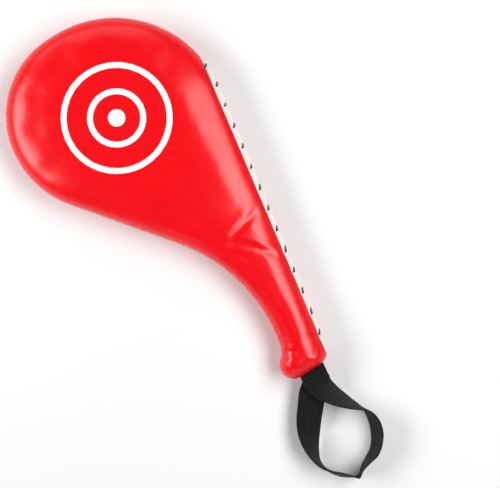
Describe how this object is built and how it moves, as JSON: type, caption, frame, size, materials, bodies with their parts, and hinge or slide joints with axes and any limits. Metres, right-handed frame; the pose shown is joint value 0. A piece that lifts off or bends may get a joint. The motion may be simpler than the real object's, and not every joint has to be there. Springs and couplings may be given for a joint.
{
  "type": "kick paddle",
  "caption": "Padded hand-held kick paddle with a round striking head, a laced edge, a slim grip and a webbing wrist strap.",
  "frame": {"origin": "on the surface the paddle lies on, under the middle of its overall length and width, wrist strap included", "axes": "+Y from the handle towards the tip of the head, +X towards the laced side, +Z out of the front face"},
  "size_m": [0.1962, 0.5038, 0.042],
  "materials": {
    "vinyl_red": "smooth semi-gloss coated vinyl",
    "vinyl_white": "matt off-white coated vinyl",
    "thread_black": "waxed lacing thread",
    "thread_red": "sewing thread",
    "print_white": "thin screen print",
    "foam_soft": "open-cell foam",
    "foam_firm": "closed-cell foam",
    "board_plastic": "flexible sheet plastic",
    "webbing_black": "woven nylon webbing"
  },
  "bodies": {
    "paddle": {"front_cover": "vinyl_red", "back_cover": "vinyl_red", "front_lace_flap": "vinyl_white", "back_lace_flap": "vinyl_white", "lacing_stitches": "thread_black", "lacing_knot": "thread_black", "cover_seam_stitching": "thread_red", "front_emblem": "print_white", "back_emblem": "print_white", "front_soft_layer": "foam_soft", "back_soft_layer": "foam_soft", "front_strike_foam": "foam_firm", "back_strike_foam": "foam_firm", "front_grip_foam": "foam_firm", "back_grip_foam": "foam_firm", "spine_board": "board_plastic", "pommel_pads": "foam_soft", "strap_tails": "webbing_black", "strap_bar_tacks": "thread_black"},
    "strap": {"wrist_strap": "webbing_black"}
  },
  "joints": [
    {"name": "strap_swing", "type": "hinge", "parent": "paddle", "child": "strap", "pos_m": [-0.00161, -0.14684, 0.021], "axis": [-0.9728, 0.2317, 0], "range_deg": [-70, 70]}
  ]
}
